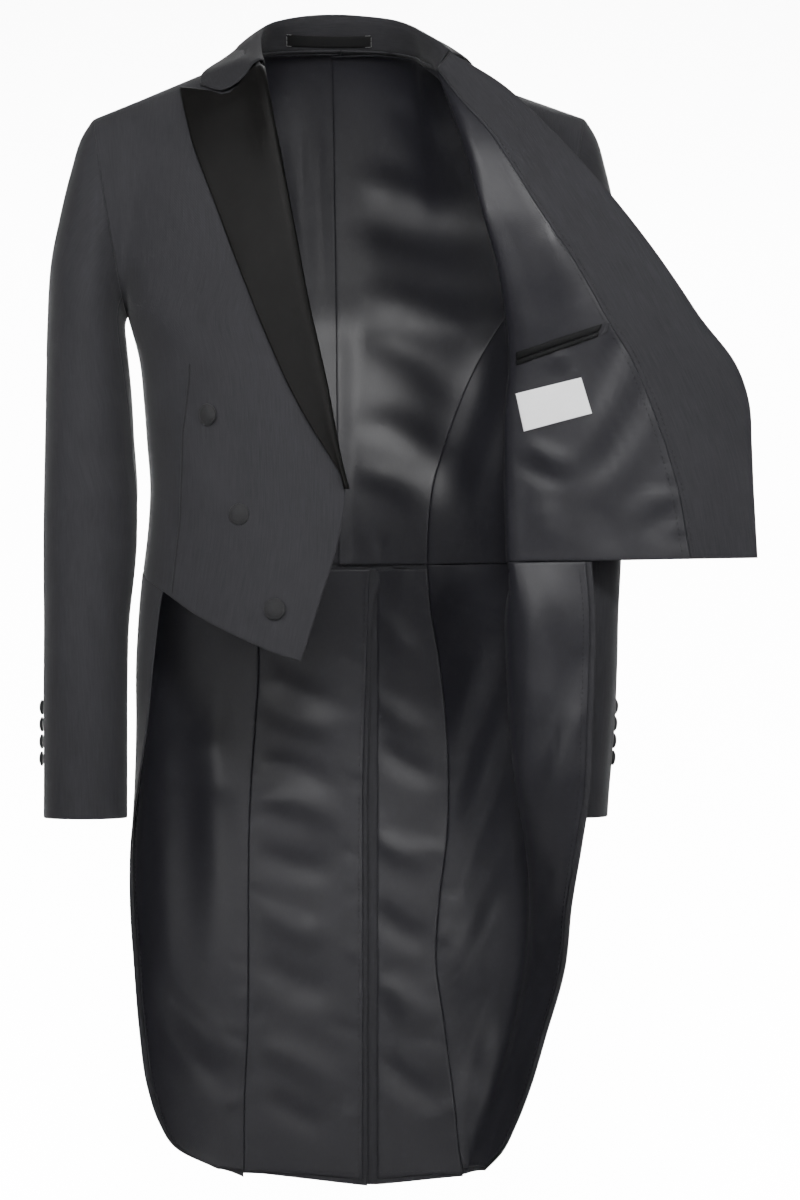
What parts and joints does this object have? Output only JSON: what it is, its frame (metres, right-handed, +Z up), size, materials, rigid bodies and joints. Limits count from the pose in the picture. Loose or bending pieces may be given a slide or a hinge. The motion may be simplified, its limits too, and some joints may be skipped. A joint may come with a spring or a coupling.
{
  "type": "white tie tailcoat",
  "caption": "Evening tailcoat in its worn shape, hollow, one front closed and the other opened out to show facing, lining and inner pocket; knee-length tails with a centre vent.",
  "frame": {"origin": "middle of the neck at shoulder height, between the neck sides of the two shoulder seams, where the wearer or a hanger carries the coat", "axes": "+Z up along the body; -Y the front of the coat; +X the wearer's left, which is on the right when it is seen from the front"},
  "size_m": [0.6671, 0.2475, 1.1218],
  "materials": {
    "wool": "worsted wool with a fine vertical line, charcoal black",
    "collar_wool": "the same worsted wool, pressed",
    "satin": "black ribbed satin",
    "twill": "charcoal lining twill with a sheen",
    "welt": "black satin piping",
    "white_label": "smooth white woven tape, bare",
    "black_label": "black woven tape, bare",
    "covered_button": "cloth covered"
  },
  "bodies": {
    "root": {"back_right": "wool", "back_left": "wool", "side_body_right": "wool", "side_body_left": "wool", "front_right": "wool", "front_left": "wool", "skirt_right": "wool", "skirt_left": "wool", "top_sleeve_right": "wool", "top_sleeve_left": "wool", "under_sleeve_right": "wool", "under_sleeve_left": "wool", "facing_left": "wool", "pocket_tab": "wool", "collar": "collar_wool", "lapel_right": "satin", "lapel_left": "satin", "lining_front_left": "twill", "lining_back_right": "twill", "lining_back_left": "twill", "lining_side_right": "twill", "lining_side_left": "twill", "lining_tail_back_right": "twill", "lining_tail_back_left": "twill", "lining_tail_side_right": "twill", "lining_tail_side_left": "twill", "pocket_welt_upper": "welt", "pocket_welt_lower": "welt", "inner_label": "white_label", "neck_label": "black_label", "button_right_1": "covered_button", "button_right_2": "covered_button", "button_right_3": "covered_button", "button_left_1": "covered_button", "button_left_2": "covered_button", "button_left_3": "covered_button", "button_cuff_right_1": "covered_button", "button_cuff_right_2": "covered_button", "button_cuff_right_3": "covered_button", "button_cuff_right_4": "covered_button", "button_cuff_left_1": "covered_button", "button_cuff_left_2": "covered_button", "button_cuff_left_3": "covered_button", "button_cuff_left_4": "covered_button", "button_waist_right": "covered_button", "button_waist_left": "covered_button"}
  },
  "joints": []
}
